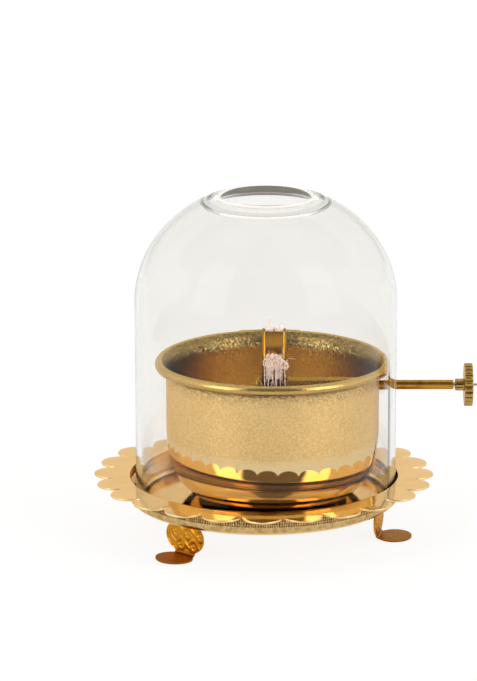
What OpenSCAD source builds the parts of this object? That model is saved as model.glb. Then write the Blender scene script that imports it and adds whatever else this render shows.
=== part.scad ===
// Brass oil lamp with a glass dome: a scalloped tray on three feet, a lipped oil bowl that curves in to a foot
// and stands loose on the tray's floor, a wick tube with a side winder through the bowl's wall, and a glass
// dome with an open mouth that stands in the tray's channel. Millimetres, +Z up, z = 0 on the table. The
// origin is under the middle of the whole lamp, winder included; the tray's own axis lies at x = axis_x.

/* [Tray] */
// Radius from the tray's axis to the tip of a petal
tray_tip_r = 78.3; // [76:0.1:82]
// Number of petals around the flange
petal_count = 24; // [20:1:28]
// Radius of one petal's round end
petal_r = 9.2; // [9:0.1:11]
// Turn of the first petal away from the front
petal_turn = -0.5; // [-7:0.5:7]
// Height of the flange's upper face above the table
flange_z = 27; // [25:0.5:30]
// Thickness of the flange
flange_t = 1.0; // [0.8:0.1:1.5]
// Inner radius of the well's upright wall
well_r = 61.6; // [61.3:0.1:62.2]
// Height of the tray's underside above the table
tray_base_z = 15.3; // [12:0.1:16]
// Radius of the step between the tray's floor and the glass channel
ring_r = 52.5; // [50:0.1:53]
// Height of the tray's floor above the table
floor_z = 18.1; // [17.8:0.1:18.5]

/* [Feet] */
// Radius at which a foot's sheet turns outward to make its toe
foot_r = 54.5; // [53.5:0.1:56]
// Width of the sheet at its lower bend
foot_w = 11.2; // [10:0.1:12]
// Width of the leaf-shaped leg at its widest
leg_w = 22.4; // [20:0.1:24]
// Width of the toe
toe_w = 18; // [16:0.1:20]
// Reach of the toe beyond the lower bend
toe_len = 14; // [12:0.5:16]
// Thickness of the foot's sheet
foot_t = 0.9; // [0.7:0.1:1.2]
// Direction of the left foot, from the front towards the right
foot_left_turn = -41; // [-60:1:-30]
// Direction of the right foot, from the front towards the right
foot_right_turn = 78; // [65:1:90]
// Direction of the rear foot, from the front towards the right
foot_rear_turn = 198; // [180:1:210]

/* [Bowl] */
// Outer radius of the bowl's straight side
bowl_r = 48.9; // [46:0.1:49]
// Thickness of the bowl's wall
bowl_t = 1.4; // [1:0.1:2]
// Height at which the bowl's side starts to curve in
heel_z = 51; // [48:0.5:54]
// Radius of that gentle curve
heel_r = 88; // [80:1:96]
// Height at which a tighter curve takes over, down to the bowl's foot
under_z = 36.3; // [35:0.1:38]
// Radius of the bowl's foot
bowl_foot_r = 33; // [31:0.1:35]
// Height of the middle of the rolled lip
lip_z = 79.9; // [77:0.1:82]
// Radius of the rolled lip's round section
lip_r = 2.3; // [1.8:0.1:2.5]
// How far the bowl stands to the winder's side of the tray's axis
bowl_dx = 4.1; // [3:0.1:4.2]

/* [Wick tube and winder] */
// Width of the wick tube
tube_w = 11.1; // [10.5:0.1:12]
// Depth of the wick tube
tube_d = 7; // [6.8:0.1:8]
// Height of the wick tube's top
tube_top_z = 94.7; // [90:0.1:100]
// Distance of the wick tube's middle from the tray's axis
tube_x = 4.8; // [3:0.1:6]
// Height of the spindle's axis
spindle_z = 69.1; // [66:0.1:72]
// Diameter of the steel spindle
spindle_d = 2; // [1.8:0.1:2]
// Outer diameter of the sleeve outside the bowl
sleeve_d = 4.4; // [4:0.1:4.4]
// Outer diameter of the housing inside the bowl
housing_d = 7.4; // [6.4:0.1:8]
// Distance of the sleeve's outer end from the tray's axis
sleeve_end_x = 87.1; // [84:0.1:90]
// Diameter of the knob's toothed wheel
knob_d = 20; // [16:0.5:24]
// Thickness of the knob's toothed wheel
knob_t = 3.8; // [3:0.1:5]
// Number of teeth around the knob
knob_teeth = 22; // [18:1:26]

/* [Glass dome] */
// Outer radius of the glass
glass_r = 60; // [59.5:0.1:60.2]
// Thickness of the glass
glass_t = 2.5; // [2:0.1:2.5]
// Height at which the glass starts to curve in
shoulder_z = 109; // [100:1:112]
// Height of the shoulder's elliptical curve
shoulder_h = 53.3; // [50:0.1:56]
// Radius of the open mouth
mouth_r = 20.6; // [18:0.1:22]
// Width of the slot that lets the glass pass over the sleeve
slot_w = 8; // [6:0.5:10]
// Height of the slot's top
slot_top_z = 80; // [76:1:90]
// How far the glass stands to the winder's side of the tray's axis
glass_dx = 1; // [0.8:0.1:1.2]

/* [Hidden] */

$fn = 96;
eps = 0.01;
stand_gap = 0.1;            // a piece that stands loose on the tray is drawn this far above it
brass = [0.86, 0.68, 0.38];
brass_dark = [0.62, 0.42, 0.14];
steel = [0.72, 0.72, 0.72];
cotton = [0.93, 0.88, 0.84];
glass_clear = [0.9, 0.95, 0.95, 0.3];

// The spindle's tip is the lamp's furthest point on the winder's side, so these two set the origin.
knob_gap = 0.7;
hub_len = 4.2;
hub_x = sleeve_end_x + knob_gap;
wheel_x = hub_x + hub_len;
tip_len = 2.6;
tip_x = wheel_x + knob_t + tip_len;
axis_x = -(tip_x - tray_tip_r) / 2;

// Tray
petal_mid_r = tray_tip_r - petal_r;
plate_r = petal_mid_r + 1;
wall_t = 1.3;
wall_r = well_r + wall_t;
base_round = 4;
channel_z = 16.3;
groove_count = 5;
groove_pitch = 1;
groove_depth = 0.35;
groove_z = 17.9;
mouth_round = 0.7;
rim_land_r = 66;
cavity_r = 50;
floor_t = 1.5;

// Feet
leg_mid_z = 8.8;
leg_low = 2 * foot_t;
leg_high = tray_base_z - 2 * foot_t;
toe_end_turn = 180 - asin(foot_w / toe_w);

// Bowl
bowl_in_r = bowl_r - bowl_t;
bowl_base_z = floor_z + stand_gap;
heel_turn = asin((heel_z - under_z) / heel_r);
under_x = bowl_r - heel_r * (1 - cos(heel_turn));
under_turn = 2 * atan((under_x - bowl_foot_r) / (under_z - bowl_base_z)) - heel_turn;
under_r = (under_z - bowl_base_z) / (sin(under_turn) - sin(heel_turn));
under_mid = [under_x - under_r * cos(heel_turn), under_z + under_r * sin(heel_turn)];
floor_turn = asin((under_mid.y - bowl_base_z - bowl_t) / (under_r - bowl_t));
flare_r = 3;
flare_turn = 60;
flare_z = lip_z - 4.3;
lip_mid_r = bowl_r + 2.8;
mouth_flare_r = 8;
mouth_flare_turn = acos(1 - (lip_mid_r - bowl_in_r) / mouth_flare_r);
mouth_flare_z = lip_z + lip_r - mouth_flare_r * sin(mouth_flare_turn);
fit_gap = 0.05;

// Wick tube and winder
tube_t = 0.7;
tube_corner = 2;
tube_y = 1.5;
tube_foot_z = 36;
window_w = 7.6;
window_depth = 1.1;
window_z = [62, 84];
running_gap = 0.075;
tube_left_x = tube_x - tube_w / 2;
tube_right_x = tube_x + tube_w / 2;
bearing_len = 2.75;
bearing_floor = 0.5;
housing_end_x = bowl_dx + bowl_r - bowl_t - 0.2;
sleeve_start_x = housing_end_x - 5.3;
feed_tip_r = 2.8;
feed_root_r = 2.1;
feed_teeth = 12;
feed_w = 2.8;
feed_dx = 2.2;
hub_d = 5.5;
slit_w = 0.4;
slit_dz = [0.75, -0.65];
knob_bump_r = 0.95;

// Wick
wick_w = 3.9;
wick_t = 0.85;
wick_y = 3.15;
wick_foot_z = 42;
wick_dx = 2.25;
strand_r = 0.7;
strand_pitch = 1.5;
strand_y = -4.1;
strand_top_z = 83;

// Glass
glass_foot_z = channel_z + stand_gap;
mouth_bead_r = 1.7;
mouth_bead_z = shoulder_z + 47.2;
shoulder_end_r = 25.5;
collar_r = 27.6;
collar_z = shoulder_z + 42.6;

// Points on an arc about [x, z], from angle a0 to angle a1
function arc(x, z, r, a0, a1, n) = [
    for (i = [0:n]) let (a = a0 + (a1 - a0) * i / n) [x + r * cos(a), z + r * sin(a)]
];

// Points on the shoulder's ellipse, from its foot up to radius end_r
function shoulder(a, b, end_r, n) = [
    for (i = [0:n]) let (t = acos(end_r / a) * i / n) [a * cos(t), shoulder_z + b * sin(t)]
];

// How far along its half length, from 0 to 1, an oval w wide has narrowed to foot_w
function bend_share(w) = sqrt(1 - pow(foot_w / w, 2));

// Half the leaf's width at height z
function leg_half(z) =
    leg_w / 2 * sqrt(1 - pow((leg_mid_z - z) * bend_share(leg_w) / (leg_mid_z - leg_low), 2));

// Heights up the leaf, in even steps
function leg_z(i) = leg_low + (leg_high - leg_low) * i / 16;

module on_tray_axis(dx = 0) {
    translate([axis_x + dx, 0, 0]) children();
}

module rod_x(x0, x1, r) {
    translate([x0, 0, spindle_z]) rotate([0, 90, 0]) cylinder(h = x1 - x0, r = r);
}

module ring_x(x0, x1, r_out, r_in) {
    difference() {
        rod_x(x0, x1, r_out);
        rod_x(x0 - 1, x1 + 1, r_in);
    }
}

module round_rect(w, d, r) {
    square([w - 2 * r, d], center = true);
    square([w, d - 2 * r], center = true);
    for (x = [-1, 1], y = [-1, 1]) translate([x * (w / 2 - r), y * (d / 2 - r)]) circle(r = r);
}

module tray_profile() {
    grooves = [
        for (i = [0:groove_count - 1]) let (z = groove_z + i * groove_pitch)
            each [[well_r, z], [well_r + groove_depth, z + groove_depth], [well_r, z + 2 * groove_depth]]
    ];
    polygon(concat(
        [[0, floor_z]],
        arc(ring_r + 0.2, floor_z - 1, 1, 90, 0, 6),
        [[ring_r + 1.2, channel_z]],
        arc(well_r - 1, channel_z + 1, 1, -90, 0, 5),
        grooves,
        arc(well_r + mouth_round, flange_z - mouth_round, mouth_round, 180, 90, 5),
        [[rim_land_r, flange_z], [rim_land_r, flange_z - flange_t], [wall_r, flange_z - flange_t]],
        arc(wall_r - base_round, tray_base_z + base_round, base_round, 0, -90, 8),
        [[cavity_r, tray_base_z], [cavity_r, floor_z - floor_t], [0, floor_z - floor_t]]
    ));
}

module petals() {
    linear_extrude(flange_t) difference() {
        union() {
            circle(r = plate_r);
            for (i = [0:petal_count - 1]) rotate(petal_turn - 90 + i * 360 / petal_count)
                translate([petal_mid_r, 0]) circle(r = petal_r);
        }
        circle(r = rim_land_r - 1);
    }
}

module tray() {
    color(brass) on_tray_axis() {
        rotate_extrude($fn = 180) tray_profile();
        translate([0, 0, flange_z - flange_t]) petals();
    }
}

// One bend of a foot's sheet: a quarter of a ring, seen along the sheet's width
module bend(x, z, quarter, w) {
    r_in = foot_t;
    translate([x, w / 2, z]) rotate([90, 0, 0]) linear_extrude(w) intersection() {
        difference() {
            circle(r = r_in + foot_t);
            circle(r = r_in);
        }
        rotate(quarter) square(r_in + foot_t + 1);
    }
}

// An oval leaf that stands between the bends, foot_w wide at the lower one
module leg() {
    translate([foot_r - foot_t, 0, 0]) rotate([90, 0, 90]) linear_extrude(foot_t)
        polygon([for (side = [-1, 1], i = [0:16]) let (z = side < 0 ? leg_z(i) : leg_z(16 - i))
            [side * leg_half(z), z]]);
}

// The flat oval toe, cut straight where it meets the lower bend
module toe() {
    mid = toe_len * bend_share(toe_w) / (1 + bend_share(toe_w));
    linear_extrude(foot_t)
        polygon([for (i = [0:24]) let (a = toe_end_turn * (1 - i / 12))
            [mid + (toe_len - mid) * cos(a), toe_w / 2 * sin(a)]]);
}

module foot(turn) {
    r_in = foot_t;
    top_w = 2 * leg_half(leg_high);
    color(brass_dark) on_tray_axis() rotate(turn - 90) {
        leg();
        bend(foot_r + r_in, foot_t + r_in, 180, foot_w);
        bend(foot_r - foot_t - r_in, tray_base_z - foot_t - r_in, 0, top_w);
        translate([cavity_r + 0.4, -top_w / 2, tray_base_z - foot_t])
            cube([foot_r - foot_t - r_in - cavity_r - 0.4, top_w, foot_t]);
        translate([foot_r + r_in, 0, 0]) toe();
    }
}

module foot_left() {
    foot(foot_left_turn);
}

module foot_right() {
    foot(foot_right_turn);
}

module foot_rear() {
    foot(foot_rear_turn);
}

module bowl_profile() {
    polygon(concat(
        [[0, bowl_base_z]],
        arc(under_mid.x, under_mid.y, under_r, -under_turn, -heel_turn, 6),
        arc(bowl_r - heel_r, heel_z, heel_r, -heel_turn, 0, 6),
        arc(bowl_r + flare_r, flare_z, flare_r, 180, 180 - flare_turn, 5),
        arc(bowl_in_r + mouth_flare_r, mouth_flare_z, mouth_flare_r, 180 - mouth_flare_turn, 180, 6),
        arc(bowl_r - heel_r, heel_z, heel_r - bowl_t, 0, -heel_turn, 6),
        arc(under_mid.x, under_mid.y, under_r - bowl_t, -heel_turn, -floor_turn, 6),
        [[0, bowl_base_z + bowl_t]]
    ));
    translate([lip_mid_r, lip_z]) circle(r = lip_r, $fn = 32);
}

module bowl() {
    color(brass) on_tray_axis() difference() {
        translate([bowl_dx, 0, 0]) rotate_extrude($fn = 180) bowl_profile();
        rod_x(bowl_dx + bowl_r - 8, bowl_dx + bowl_r + 8, sleeve_d / 2 + fit_gap);
    }
}

module wick_tube() {
    color(brass_dark) on_tray_axis() difference() {
        translate([tube_x, tube_y, tube_foot_z]) linear_extrude(tube_top_z - tube_foot_z) difference() {
            round_rect(tube_w, tube_d, tube_corner);
            round_rect(tube_w - 2 * tube_t, tube_d - 2 * tube_t, tube_corner - tube_t);
        }
        translate([tube_x - window_w / 2, tube_y - tube_d / 2 - 1, window_z[0]])
            cube([window_w, 1 + window_depth, window_z[1] - window_z[0]]);
        rod_x(tube_left_x - 1, tube_right_x + 1, spindle_d / 2 + 0.15);
    }
}

module spindle_housing() {
    color(brass_dark) on_tray_axis()
        ring_x(tube_right_x, housing_end_x, housing_d / 2, sleeve_d / 2 + fit_gap);
}

module end_bearing() {
    color(brass_dark) on_tray_axis() difference() {
        rod_x(tube_left_x - bearing_len, tube_left_x, housing_d / 2);
        rod_x(tube_left_x - bearing_len + bearing_floor, tube_left_x + 1, spindle_d / 2 + running_gap);
    }
}

module outer_sleeve() {
    color(brass_dark) on_tray_axis()
        ring_x(sleeve_start_x, sleeve_end_x, sleeve_d / 2, spindle_d / 2 + running_gap);
}

module spindle() {
    color(steel) on_tray_axis() {
        rod_x(tube_left_x - bearing_len + bearing_floor + 0.2, wheel_x + knob_t, spindle_d / 2);
        rod_x(wheel_x + knob_t - eps, tip_x, 0.6);
    }
}

module feed_wheel(dx) {
    color(steel) on_tray_axis() translate([tube_x + dx - feed_w / 2, 0, spindle_z])
        rotate([90, 0, 90]) linear_extrude(feed_w) difference() {
            union() {
                circle(r = feed_root_r);
                for (i = [0:feed_teeth - 1]) rotate(i * 360 / feed_teeth)
                    polygon([[0, -0.5], [feed_tip_r, -0.15], [feed_tip_r, 0.15], [0, 0.5]]);
            }
            circle(r = spindle_d / 2);
        }
}

module feed_wheel_left() {
    feed_wheel(-feed_dx);
}

module feed_wheel_right() {
    feed_wheel(feed_dx);
}

module knob() {
    color(brass_dark) on_tray_axis() difference() {
        union() {
            difference() {
                rod_x(hub_x, wheel_x + eps, hub_d / 2);
                for (dz = slit_dz) translate([hub_x - 1, -hub_d, spindle_z + dz - slit_w / 2])
                    cube([hub_len - 0.6 + 1, 2 * hub_d, slit_w]);
            }
            translate([wheel_x, 0, spindle_z]) rotate([90, 0, 90]) linear_extrude(knob_t) {
                circle(r = knob_d / 2 - knob_bump_r);
                for (i = [0:knob_teeth - 1]) rotate(i * 360 / knob_teeth)
                    translate([knob_d / 2 - knob_bump_r, 0]) circle(r = knob_bump_r, $fn = 24);
            }
        }
        rod_x(hub_x - 1, wheel_x + knob_t + 1, spindle_d / 2);
    }
}

// One flat strand of the wick, with a narrower tip above the tube's top
module wick_strand(dx, tip_dx, top_z) {
    color(cotton) on_tray_axis() {
        translate([tube_x + dx - wick_w / 2, wick_y, wick_foot_z])
            cube([wick_w, wick_t, tube_top_z + 1 - wick_foot_z]);
        translate([tube_x + dx + tip_dx - 0.8, wick_y, tube_top_z + 1 - eps])
            cube([1.6, wick_t, top_z - tube_top_z - 1]);
    }
}

module wick_left() {
    wick_strand(-wick_dx, -0.9, 100.6);
}

module wick_right() {
    wick_strand(wick_dx, 0.9, 99.2);
}

// Loose ends drawn out through the window: each comes forward and hangs down before the feed wheels
module wick_tuft() {
    color(cotton) on_tray_axis() for (i = [-2:2]) {
        x = tube_x + i * strand_pitch;
        z = strand_top_z - abs(i) * 1.2;
        translate([x, strand_y, 66 + abs(i) * 1.5]) cylinder(h = z - 66 - abs(i) * 1.5, r = strand_r, $fn = 24);
        translate([x, strand_y, z]) sphere(r = strand_r, $fn = 24);
        translate([x, strand_y, z]) rotate([-90, 0, 0])
            cylinder(h = -strand_y - 0.6, r = strand_r, $fn = 24);
    }
}

module glass_profile() {
    glass_in = glass_r - glass_t;
    polygon(concat(
        [[glass_r, glass_foot_z]],
        shoulder(glass_r, shoulder_h, shoulder_end_r, 22),
        [[mouth_r + mouth_bead_r, mouth_bead_z + mouth_bead_r], [mouth_r + mouth_bead_r, collar_z + 2]],
        [[collar_r, collar_z]],
        [for (i = [22:-1:0]) shoulder(glass_in, shoulder_h - glass_t, collar_r + 1.4, 22)[i]],
        [[glass_in, glass_foot_z]]
    ));
    translate([mouth_r + mouth_bead_r, mouth_bead_z]) circle(r = mouth_bead_r, $fn = 24);
}

module glass_dome() {
    color(glass_clear) on_tray_axis() difference() {
        translate([glass_dx, 0, 0]) rotate_extrude($fn = 180) glass_profile();
        translate([glass_r - 12, -slot_w / 2, 0]) cube([24, slot_w, slot_top_z - slot_w / 2]);
        translate([glass_r - 12, 0, slot_top_z - slot_w / 2]) rotate([0, 90, 0])
            cylinder(h = 24, r = slot_w / 2);
    }
}

tray();
foot_left();
foot_right();
foot_rear();
bowl();
wick_tube();
spindle_housing();
end_bearing();
outer_sleeve();
spindle();
feed_wheel_left();
feed_wheel_right();
knob();
wick_left();
wick_right();
wick_tuft();
glass_dome();
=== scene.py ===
import math

import bpy
import numpy as np
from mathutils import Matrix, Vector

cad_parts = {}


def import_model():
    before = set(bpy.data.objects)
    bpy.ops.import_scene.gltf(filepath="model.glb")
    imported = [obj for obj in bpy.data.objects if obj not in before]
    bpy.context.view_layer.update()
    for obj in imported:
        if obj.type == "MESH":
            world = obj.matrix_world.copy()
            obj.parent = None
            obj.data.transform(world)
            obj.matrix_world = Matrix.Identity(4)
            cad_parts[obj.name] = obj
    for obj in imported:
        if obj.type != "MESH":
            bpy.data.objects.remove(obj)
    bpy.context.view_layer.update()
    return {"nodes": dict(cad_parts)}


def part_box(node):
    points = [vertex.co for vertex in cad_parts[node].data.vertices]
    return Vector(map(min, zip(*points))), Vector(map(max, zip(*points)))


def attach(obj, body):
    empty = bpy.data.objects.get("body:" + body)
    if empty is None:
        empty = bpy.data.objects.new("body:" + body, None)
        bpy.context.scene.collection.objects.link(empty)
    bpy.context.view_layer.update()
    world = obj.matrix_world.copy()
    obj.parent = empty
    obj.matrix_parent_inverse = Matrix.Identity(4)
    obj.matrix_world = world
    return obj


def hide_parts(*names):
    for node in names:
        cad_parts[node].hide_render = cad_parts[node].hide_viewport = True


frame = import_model()
NODES = frame["nodes"]
MM = 0.001
TAU = 2 * math.pi


# ---------------------------------------------------------------- places, from the frame

def middle_x(node):
    """The x of the middle of a CAD node's box, in millimetres."""
    low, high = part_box(node)
    return (low.x + high.x) / 2 / MM


TRAY_X = middle_x("tray")
BOWL_X = middle_x("bowl")
GLASS_X = middle_x("glass_dome")
TUBE_X = middle_x("wick_tube")
SPINDLE_Z = (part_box("spindle")[0].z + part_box("spindle")[1].z) / 2 / MM
FLANGE_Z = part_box("tray")[1].z / MM
TUBE_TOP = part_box("wick_tube")[1].z / MM


# ---------------------------------------------------------------- mesh helpers

def make(name, verts, faces, sharp=40.0):
    """A smooth-shaded mesh object from points in millimetres. Edges sharper than the angle stay sharp."""
    mesh = bpy.data.meshes.new(name)
    mesh.from_pydata((np.asarray(verts, float) * MM).tolist(), [], [tuple(int(i) for i in f) for f in faces])
    mesh.validate()
    mesh.polygons.foreach_set("use_smooth", [True] * len(mesh.polygons))
    if signed_volume(mesh) < 0:
        mesh.flip_normals()
    mesh.set_sharp_from_angle(angle=math.radians(sharp))
    piece = bpy.data.objects.new(name, mesh)
    bpy.context.scene.collection.objects.link(piece)
    return piece


def signed_volume(mesh):
    """Six times the volume that the mesh encloses; negative if its faces look inwards."""
    mesh.calc_loop_triangles()
    co = np.zeros(len(mesh.vertices) * 3)
    mesh.vertices.foreach_get("co", co)
    tri = np.zeros(len(mesh.loop_triangles) * 3, np.int32)
    mesh.loop_triangles.foreach_get("vertices", tri)
    a, b, c = co.reshape(-1, 3)[tri.reshape(-1, 3)].transpose(1, 0, 2)
    return float(np.einsum("ij,ij->i", a, np.cross(b, c)).sum())


def arc(x, z, r, a0, a1, n):
    """Points on an arc about (x, z), from angle a0 to a1 in degrees."""
    return [(x + r * math.cos(math.radians(a0 + (a1 - a0) * i / n)),
             z + r * math.sin(math.radians(a0 + (a1 - a0) * i / n))) for i in range(n + 1)]


def line(p, q, n):
    """n points from p towards q, without q."""
    return [(p[0] + (q[0] - p[0]) * i / n, p[1] + (q[1] - p[1]) * i / n) for i in range(n)]


def even_angles(steps):
    return np.arange(steps) * TAU / steps


def revolve(profile, place, angles):
    """Vertices and faces of a turned form, whose profile closes from its last point back to its first.

    A profile point is (radius, height); a radius may be an array, one for each angle.
    place(radius, height, angle) gives the three coordinates.
    """
    steps = len(angles)
    verts, rows = [], []
    for radius, height in profile:
        if np.ndim(radius) == 0 and abs(radius) < 1e-9:
            rows.append([len(verts)])
            verts.append(place(np.zeros(1), height, np.zeros(1))[0])
        else:
            rows.append(list(range(len(verts), len(verts) + steps)))
            verts.extend(place(np.broadcast_to(radius, (steps,)), height, angles))
    faces = []
    for i in range(len(rows)):
        a, b = rows[i], rows[(i + 1) % len(rows)]
        for j in range(steps):
            k = (j + 1) % steps
            if len(a) == 1 and len(b) == 1:
                break
            if len(a) == 1:
                faces.append((a[0], b[j], b[k]))
            elif len(b) == 1:
                faces.append((a[j], a[k], b[0]))
            else:
                faces.append((a[j], a[k], b[k], b[j]))
    return verts, faces


def upright(cx):
    """Places a profile round the vertical line x = cx."""
    def place(r, z, a):
        z = np.broadcast_to(z, r.shape)
        return np.stack([cx + r * np.cos(a), r * np.sin(a), z], 1)
    return place


def along_x(r, x, a):
    """Places a profile round the spindle's axis, with the profile's height along X."""
    return np.stack([np.broadcast_to(x, r.shape), r * np.cos(a), SPINDLE_Z + r * np.sin(a)], 1)


def lathe(name, profile, cx, angles, sharp=40.0):
    """A piece turned about the upright line x = cx."""
    return make(name, *revolve(profile, upright(cx), angles), sharp=sharp)


def turned(name, profile, angles=even_angles(96), sharp=40.0):
    """A piece turned about the spindle's axis."""
    return make(name, *revolve(profile, along_x, angles), sharp=sharp)


def cut(piece, name, corners_low, corners_high, rounding=0.0):
    """Cuts a box, with its vertical ends rounded if asked, out of a piece."""
    lo, hi = np.array(corners_low, float), np.array(corners_high, float)
    verts = [(x, y, z) for x in (lo[0], hi[0]) for y in (lo[1], hi[1]) for z in (lo[2], hi[2])]
    faces = [(0, 1, 3, 2), (4, 6, 7, 5), (0, 4, 5, 1), (2, 3, 7, 6), (0, 2, 6, 4), (1, 5, 7, 3)]
    if rounding:
        outline = [(lo[1], lo[2]), (hi[1], lo[2])] + [
            (0.5 * (lo[1] + hi[1]) + rounding * math.cos(a), hi[2] - rounding + rounding * math.sin(a))
            for a in np.linspace(0, math.pi, 25)]
        n = len(outline)
        verts = [(x, y, z) for x in (lo[0], hi[0]) for y, z in outline]
        faces = [tuple(range(n))[::-1], tuple(range(n, 2 * n))]
        faces += [(i, (i + 1) % n, n + (i + 1) % n, n + i) for i in range(n)]
    cutter = make(name, verts, faces)
    modifier = piece.modifiers.new(name, "BOOLEAN")
    modifier.operation, modifier.object, modifier.solver = "DIFFERENCE", cutter, "EXACT"
    bpy.context.view_layer.objects.active = piece
    bpy.ops.object.modifier_apply(modifier=modifier.name)
    bpy.data.objects.remove(cutter)
    piece.data.set_sharp_from_angle(angle=math.radians(40))


def finish_piece(piece, body, slot, material, *replaced):
    """Gives a piece its material, lets it ride a body, and hides the CAD nodes it stands for. slot is not
    used.
    """
    piece.data.materials.clear()
    piece.data.materials.append(material)
    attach(piece, body)
    if replaced:
        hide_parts(*replaced)


# ---------------------------------------------------------------- material helpers

class Shader:
    """A small wrapper that makes node trees in few lines."""

    def __init__(self, name, **values):
        self.material = bpy.data.materials.new(name)
        self.material.use_nodes = True
        self.tree = self.material.node_tree
        self.bsdf = self.tree.nodes["Principled BSDF"]
        for key, value in values.items():
            self.bsdf.inputs[key.replace("_", " ")].default_value = value

    def node(self, kind, **settings):
        made = self.tree.nodes.new(kind)
        for key, value in settings.items():
            setattr(made, key, value)
        return made

    def link(self, source, node, socket):
        if hasattr(source, "is_output"):
            self.tree.links.new(source, node.inputs[socket])
        else:
            node.inputs[socket].default_value = source

    def to(self, socket, source):
        self.link(source, self.bsdf, socket)

    def position(self, scale=(1, 1, 1)):
        """Object coordinates, in metres, times scale."""
        coords = self.node("ShaderNodeTexCoord")
        mapping = self.node("ShaderNodeMapping")
        self.link(coords.outputs["Object"], mapping, "Vector")
        mapping.inputs["Scale"].default_value = scale
        return mapping.outputs[0]

    def noise(self, scale, detail, roughness, vector):
        made = self.node("ShaderNodeTexNoise")
        self.link(vector, made, "Vector")
        for key, value in (("Scale", scale), ("Detail", detail), ("Roughness", roughness)):
            made.inputs[key].default_value = value
        return made.outputs["Fac"]

    def ramp(self, factor, stops):
        """A colour that follows factor through stops of (place, colour)."""
        made = self.node("ShaderNodeValToRGB")
        elements = made.color_ramp.elements
        while len(elements) < len(stops):
            elements.new(0.5)
        for element, (place, colour) in zip(elements, stops):
            element.position = place
            element.color = (*colour, 1)
        self.link(factor, made, "Fac")
        return made.outputs["Color"]

    def span(self, value, low, high, to_low=0.0, to_high=1.0):
        """A soft step from to_low to to_high as value goes from low to high."""
        made = self.node("ShaderNodeMapRange", interpolation_type="SMOOTHSTEP")
        for key, v in (("Value", value), ("From Min", low), ("From Max", high), ("To Min", to_low),
                       ("To Max", to_high)):
            self.link(v, made, key)
        return made.outputs["Result"]

    def math(self, operation, a, b=0.0):
        made = self.node("ShaderNodeMath", operation=operation)
        self.link(a, made, 0)
        self.link(b, made, 1)
        return made.outputs[0]

    def mix(self, factor, a, b, blend="MIX"):
        made = self.node("ShaderNodeMix", data_type="RGBA", blend_type=blend)
        self.link(factor, made, 0)
        for socket, value in ((6, a), (7, b)):
            self.link((*value, 1) if isinstance(value, tuple) and len(value) == 3 else value, made, socket)
        return made.outputs[2]

    def xyz(self, axis, vector):
        made = self.node("ShaderNodeSeparateXYZ")
        self.link(vector, made, 0)
        return made.outputs[axis]

    def distance(self, pos, cx, climb=0.0):
        """Distance in metres from the upright line x = cx, plus a share of the height if asked."""
        offset = self.node("ShaderNodeVectorMath", operation="SUBTRACT")
        self.link(pos, offset, 0)
        offset.inputs[1].default_value = (cx * MM, 0, 0)
        flat = self.node("ShaderNodeVectorMath", operation="MULTIPLY")
        self.link(offset.outputs[0], flat, 0)
        flat.inputs[1].default_value = (1, 1, climb)
        length = self.node("ShaderNodeVectorMath", operation="LENGTH")
        self.link(flat.outputs[0], length, 0)
        return length.outputs["Value"]

    def bump(self, height, distance, strength, normal=None):
        made = self.node("ShaderNodeBump")
        self.link(strength, made, "Strength")
        made.inputs["Distance"].default_value = distance
        self.link(height, made, "Height")
        if normal is not None:
            self.link(normal, made, "Normal")
        return made.outputs[0]


# the polished tray's brass, and the same where it is stained a little browner
BRASS = (0.83, 0.565, 0.275)
BRASS_WARM = (0.78, 0.51, 0.22)
# what brass reflects at a grazing angle
EDGE_TINT = (0.93, 0.80, 0.62, 1)


def polished_brass():
    """The tray: bright lathe-turned brass with faint turning lines, soft waves and small stains."""
    s = Shader("polished_brass", Metallic=1.0, Specular_Tint=EDGE_TINT)
    pos = s.position()
    stain = s.noise(55, 4, 0.6, pos)
    bright = s.ramp(stain, [(0.3, BRASS_WARM), (0.52, BRASS), (0.8, (0.85, 0.59, 0.30))])
    # the outside of the wall and its round-over are duller than the turned faces, and painted darker there
    # with shade from the flange above
    outside = s.span(s.distance(pos, TRAY_X), 0.0618, 0.0622)
    dull_and_shaded = s.math("MULTIPLY", outside, s.span(s.xyz(2, pos), 0.0246, 0.0240))
    flange_shade = s.mix(s.span(s.noise(420, 4, 0.65, pos), 0.35, 0.65), (0.42, 0.27, 0.10), (0.62, 0.43, 0.19))
    s.to("Base Color", s.mix(dull_and_shaded, bright, flange_shade))
    rough = s.span(s.noise(120, 4, 0.6, pos), 0.3, 0.75, 0.07, 0.16)
    s.to("Roughness", s.math("ADD", rough, s.math("MULTIPLY", dull_and_shaded, 0.14)))
    rings = s.node("ShaderNodeCombineXYZ")
    s.link(s.distance(pos, TRAY_X, 0.35), rings, 0)
    fine = s.bump(s.noise(2600, 2, 0.5, rings.outputs[0]), 0.00002, 0.25)
    s.to("Normal", s.bump(s.noise(42, 1, 0.4, pos), 0.0009, 0.16, fine))
    return s.material


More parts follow.
